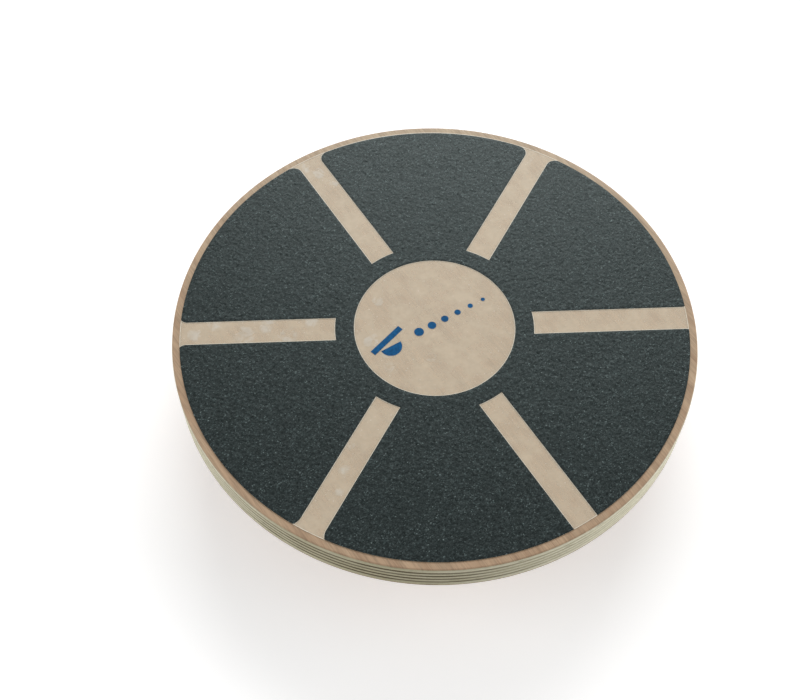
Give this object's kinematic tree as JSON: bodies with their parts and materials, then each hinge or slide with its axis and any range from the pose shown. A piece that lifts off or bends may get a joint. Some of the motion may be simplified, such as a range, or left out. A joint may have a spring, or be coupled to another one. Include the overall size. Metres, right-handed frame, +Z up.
{
  "type": "balance board",
  "caption": "Round plywood balance board with a printed anti-slip grit top and a hollow moulded dome base with a rubber foot pad.",
  "frame": {"origin": "on the floor under the middle of the dome, with the board at rest and level", "axes": "+Z up through the middle of the board; +X along one pair of clear spokes; the print sits slightly towards -Y"},
  "size_m": [0.3999, 0.4, 0.0878],
  "materials": {
    "face_veneer": "satin",
    "core_veneer": "sanded",
    "clear_film": "clear satin film",
    "grit": "mineral grit",
    "blue_print": "printed ink",
    "moulding": "fine moulded grain",
    "pad_rubber": "matt",
    "screw_steel": "zinc plated"
  },
  "bodies": {
    "root": {"face_veneer_bottom": "face_veneer", "core_ply_1": "core_veneer", "core_ply_2": "core_veneer", "core_ply_3": "core_veneer", "core_ply_4": "core_veneer", "core_ply_5": "core_veneer", "core_ply_6": "core_veneer", "core_ply_7": "core_veneer", "core_ply_8": "core_veneer", "core_ply_9": "core_veneer", "face_veneer_top": "face_veneer", "clear_film": "clear_film", "grit_coat": "grit", "emblem_print": "blue_print", "dome_shell": "moulding", "clamp_ring": "moulding", "pole_pad": "pad_rubber", "dome_screws": "screw_steel"}
  },
  "joints": []
}
